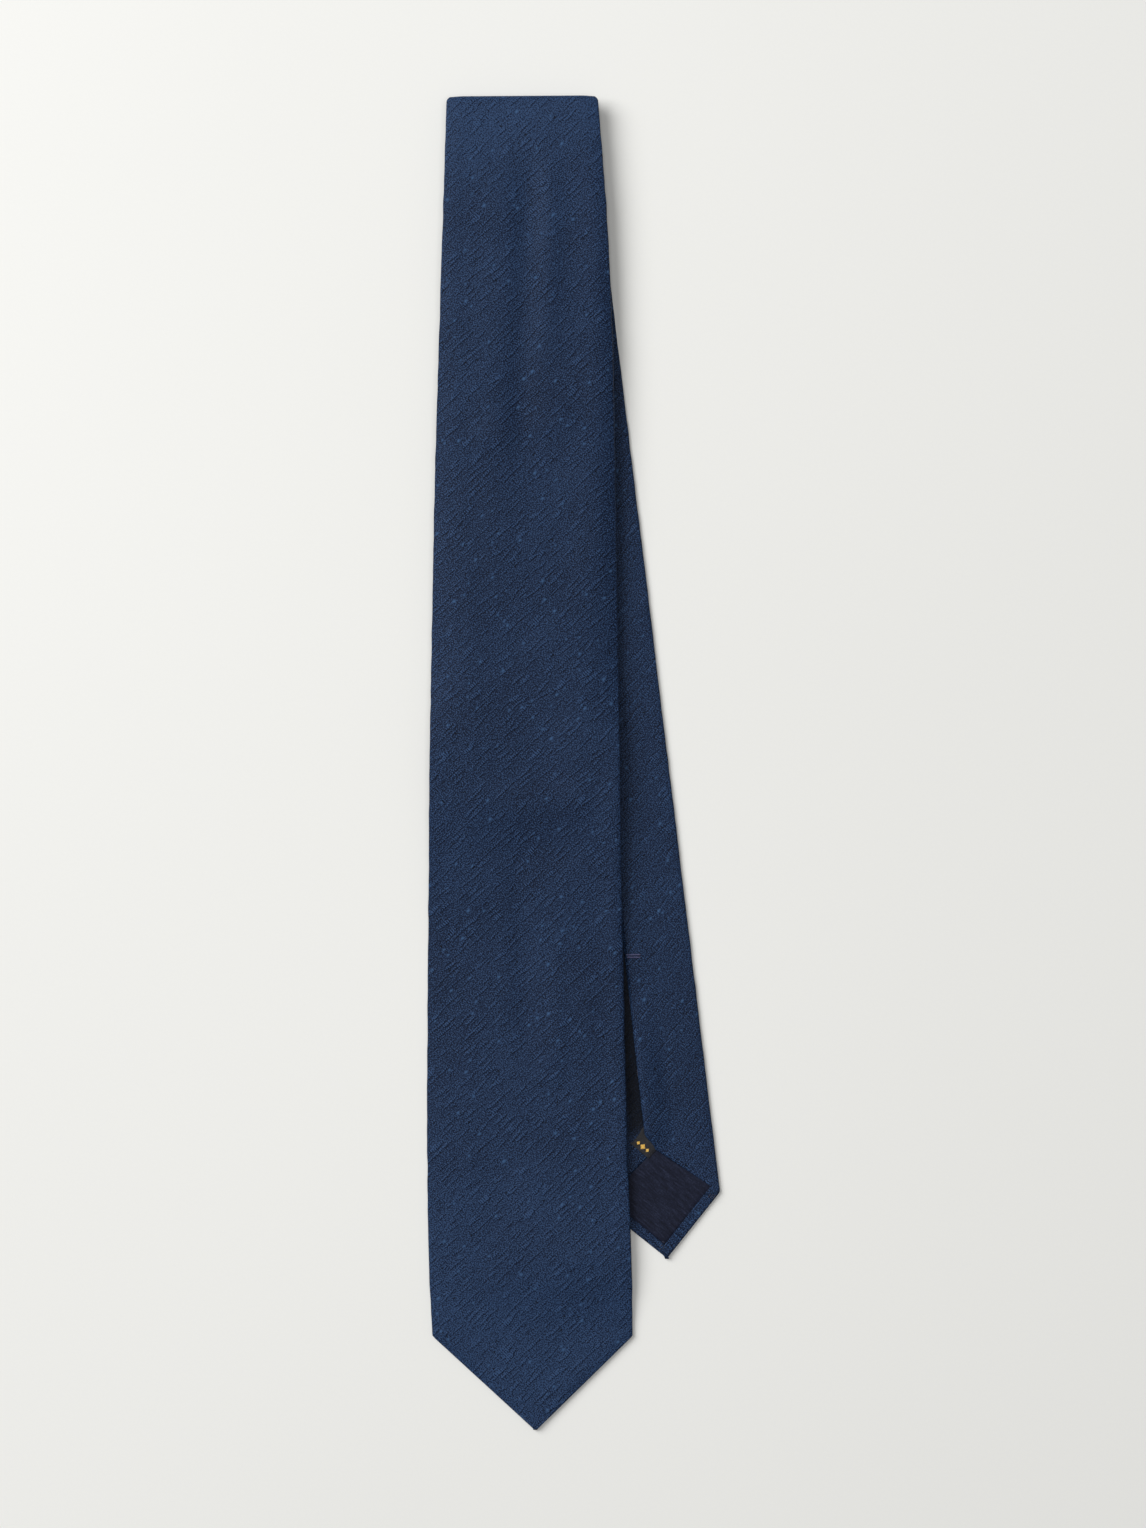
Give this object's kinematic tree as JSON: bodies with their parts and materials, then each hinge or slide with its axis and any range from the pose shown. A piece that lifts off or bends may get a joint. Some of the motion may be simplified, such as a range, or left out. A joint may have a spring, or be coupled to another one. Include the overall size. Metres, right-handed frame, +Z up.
{
  "type": "necktie",
  "caption": "Necktie in slub silk, folded in four and laid flat: wide pointed blade on top, narrow pointed tail slanting out from under it, back side up.",
  "frame": {"origin": "centre of the folded tie's outline on the surface that it lies on", "axes": "+Y from the points up to the top folds, +Z up from the surface, +X towards the side where the tail shows"},
  "size_m": [0.1156, 0.5252, 0.0091],
  "materials": {
    "shantung_silk": "slub silk with a soft sheen",
    "tipping": "plain-woven lining silk, slightly darker",
    "interlining": "brushed wool",
    "thread": "twisted sewing thread",
    "label_satin": "satin woven",
    "label_gold": "metallic yarn"
  },
  "bodies": {
    "neck_back": {"neck_back_neck_cloth": "shantung_silk", "neck_back_tail_cloth": "shantung_silk", "neck_back_interlining": "interlining", "neck_back_left_panel": "shantung_silk", "neck_back_right_panel": "shantung_silk", "neck_back_slip_stitch": "thread", "back_fold_roll": "shantung_silk", "neck_fold_roll": "shantung_silk"},
    "tail": {"tail_face": "shantung_silk", "tail_interlining": "interlining", "tail_left_panel": "shantung_silk", "tail_right_panel": "shantung_silk", "tail_tipping": "tipping", "tail_left_hem": "shantung_silk", "tail_right_hem": "shantung_silk", "tail_bar_tack": "thread", "tail_slip_stitch": "thread", "tail_tip_stitch": "thread", "tail_corner_stitch": "thread", "label": "label_satin", "label_motif": "label_gold", "label_stitches": "thread"},
    "neck_front": {"neck_front_neck_cloth": "shantung_silk", "neck_front_blade_cloth": "shantung_silk", "neck_front_interlining": "interlining", "neck_front_left_panel": "shantung_silk", "neck_front_right_panel": "shantung_silk", "neck_front_slip_stitch": "thread", "front_fold_roll": "shantung_silk"},
    "blade": {"blade_face": "shantung_silk", "blade_interlining": "interlining", "blade_left_panel": "shantung_silk", "blade_right_panel": "shantung_silk", "blade_tipping": "tipping", "blade_left_hem": "shantung_silk", "blade_right_hem": "shantung_silk", "blade_bar_tack": "thread", "blade_slip_stitch": "thread", "blade_tip_stitch": "thread", "keeper_loop": "shantung_silk", "keeper_stitches": "thread"}
  },
  "joints": [
    {"name": "back_top_fold", "type": "hinge", "parent": "neck_back", "child": "tail", "pos_m": [-0.0139, 0.25975, 0.0022], "axis": [0.999, 0.0454, 0], "range_deg": [0, 180]},
    {"name": "neck_fold", "type": "hinge", "parent": "neck_back", "child": "neck_front", "pos_m": [-0.01905, 0.0138, 0.00455], "axis": [1, -0.0086, 0], "range_deg": [0, 178.8]},
    {"name": "front_top_fold", "type": "hinge", "parent": "neck_front", "child": "blade", "pos_m": [-0.01995, 0.2603, 0.0069], "axis": [-1, -0.0067, 0], "range_deg": [0, 178.8]}
  ],
  "couplings": [
    {"joint": "neck_fold", "follows": "front_top_fold", "ratio": 1}
  ]
}
